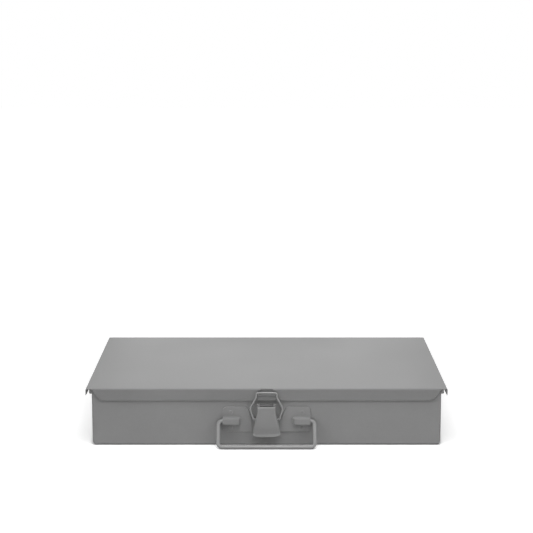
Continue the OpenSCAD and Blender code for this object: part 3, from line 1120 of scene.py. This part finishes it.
@dataclass
class Studio:
    """Pale floor, soft lamps and the camera.

    Args:
        focal_px: Focal length in pixels of a 533-pixel-wide picture.
        frame_px: Width of the picture in pixels.
        pitch: How far the camera looks down, in degrees.
        distance: From the lid's front edge to the camera, along -Y, in metres.
        height: Height of the camera above the floor, in metres.
        sensor: Width of the camera's sensor, in millimetres.
        lamps: The soft lamps.
        aim: The point that the lamps face, in metres.
        room_light: Strength of the room's even light.
        floor_half: Half the floor's width, in metres.
        floor_tone: Linear grey of the floor in the lamps' light.
        floor_roughness: Roughness of the floor.
        floor_glow: Strength that the floor adds for the camera near the box.
        glow_reach: Distances from the middle where the glow starts to rise and is full, in metres.
        contact_shadow_size: How near a piece has to be for the painted contact shadow that darkens the
            floor's glow, in metres.
        contact_shadow_open: Openness where the painted contact shadow puts the glow out and where the
            glow is back.
    """

    focal_px: float = 1536.3
    frame_px: float = 533
    pitch: float = 9.93
    distance: float = 1.9451
    height: float = 0.5788
    sensor: float = 36
    lamps: tuple[Lamp, ...] = (
        Lamp("top_lamp", (0, -0.55, 1.25), 0.7, 8.8),
        Lamp("key_lamp", (0, -1.1, 1.15), 0.3, 1.6),
        Lamp("rear_lamp", (0, 1.7, 0.35), 0.8, 1.6),
        Lamp("left_lamp", (-1.4, -1.2, 0.8), 1, 4.8),
        Lamp("right_lamp", (1.4, -1.2, 0.8), 1, 4.8),
    )
    aim: Place = (0, 0, 0.05)
    room_light: float = 0.2
    floor_half: float = 6
    floor_tone: float = 0.8
    floor_roughness: float = 0.9
    floor_glow: float = 0.55
    glow_reach: tuple[float, float] = (0.3, 1.2)
    contact_shadow_size: float = 0.014
    contact_shadow_open: tuple[float, float] = (0.3, 0.75)

    def camera(self, front_y: float) -> None:
        """Places the camera at the photograph's angle.

        Args:
            front_y: Y of the lid's front edge, in metres.
        """
        data = bpy.data.cameras.new("camera")
        data.sensor_width = self.sensor
        data.lens = self.focal_px / self.frame_px * self.sensor
        eye = bpy.data.objects.new("camera", data)
        eye.location = (0, front_y - self.distance, self.height)
        eye.rotation_euler = (math.radians(90 - self.pitch), 0, 0)
        bpy.context.scene.collection.objects.link(eye)
        bpy.context.scene.camera = eye

    def seen(self, wiring: Wiring) -> bpy.types.NodeSocket:
        """Adds a switch that is 1 on rays that show the background.

        Args:
            wiring: Wiring that gets the switch.

        Returns:
            The switch: 1 for the camera and for mirrored or refracted views.
        """
        path = wiring.add("ShaderNodeLightPath")
        shown = path.outputs["Is Camera Ray"]
        for name in ("Is Glossy Ray", "Is Transmission Ray"):
            shown = wiring.combine(Blend.LARGER, shown, path.outputs[name])
        return shown

    def white_card(self) -> bpy.types.Material:
        """Makes the floor's matte white, which looks white wherever no shadow falls.

        Returns:
            The floor's material.
        """
        material, shader, wiring = plain_material("floor_white")
        shader.inputs["Base Color"].default_value = (*grey(self.floor_tone), 1)
        shader.inputs["Roughness"].default_value = self.floor_roughness
        shader.inputs["Specular IOR Level"].default_value = 0
        shader.inputs["Emission Color"].default_value = WHITE
        place = wiring.add("ShaderNodeTexCoord")
        away = wiring.add("ShaderNodeVectorMath")
        away.operation = "LENGTH"
        wiring.join(place.outputs["Object"], away.inputs[0])
        glow = wiring.remap(
            away.outputs["Value"], self.glow_reach, (self.floor_glow, 1), Ramp.SOFT)
        # Painted shadow: the floor's glow is darkened where pieces stand close over it.
        painted_contact_shadow = wiring.remap(wiring.openness(self.contact_shadow_size), self.contact_shadow_open, (0, 1), Ramp.SOFT)
        lit = wiring.combine(Blend.PRODUCT, glow, painted_contact_shadow)
        shown = wiring.combine(Blend.PRODUCT, self.seen(wiring), lit)
        wiring.join(shown, shader.inputs["Emission Strength"])
        return material

    def floor(self) -> None:
        """Lays the pale floor."""
        half = self.floor_half
        mesh = bpy.data.meshes.new("floor")
        corners = [(-half, -half, 0), (half, -half, 0), (half, half, 0), (-half, half, 0)]
        mesh.from_pydata(corners, [], [(0, 1, 2, 3)])
        floor = bpy.data.objects.new("floor", mesh)
        mesh.materials.append(self.white_card())
        bpy.context.scene.collection.objects.link(floor)

    def sky(self) -> None:
        """Sets the even light of the room, white to the camera."""
        world = bpy.data.worlds.new("room")
        bpy.context.scene.world = world
        world.use_nodes = True
        wiring = Wiring(world.node_tree)
        shader = world.node_tree.nodes["Background"]
        shader.inputs["Color"].default_value = WHITE
        light = wiring.remap(self.seen(wiring), (0, 1), (self.room_light, 1))
        wiring.join(light, shader.inputs["Strength"])

    def build(self, front_y: float) -> None:
        """Sets up the whole studio.

        Args:
            front_y: Y of the lid's front edge, in metres.
        """
        self.camera(front_y)
        self.floor()
        self.sky()
        for lamp in self.lamps:
            lamp.hang(Vector(self.aim))


def main() -> None:
    """Loads the frame, dresses the box, adds its pressings and weld marks and lights it."""
    logging.basicConfig(level=logging.INFO, format="%(message)s")
    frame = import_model()
    scene = bpy.context.scene
    scene.view_settings.view_transform = "Standard"
    enamel = Paintwork().dress(frame["nodes"])
    joints = {joint["name"]: joint["pos_m"] for joint in frame["joints"]}
    plate = HandlePlate.in_frame(joints).build(enamel)
    Lever.in_frame(joints).build(enamel)
    WeldMarks().build_all(plate, frame["nodes"]["tray_shell"], enamel)
    Studio().build(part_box("lid_shell")[0].y)


if __name__ == "__main__":
    main()
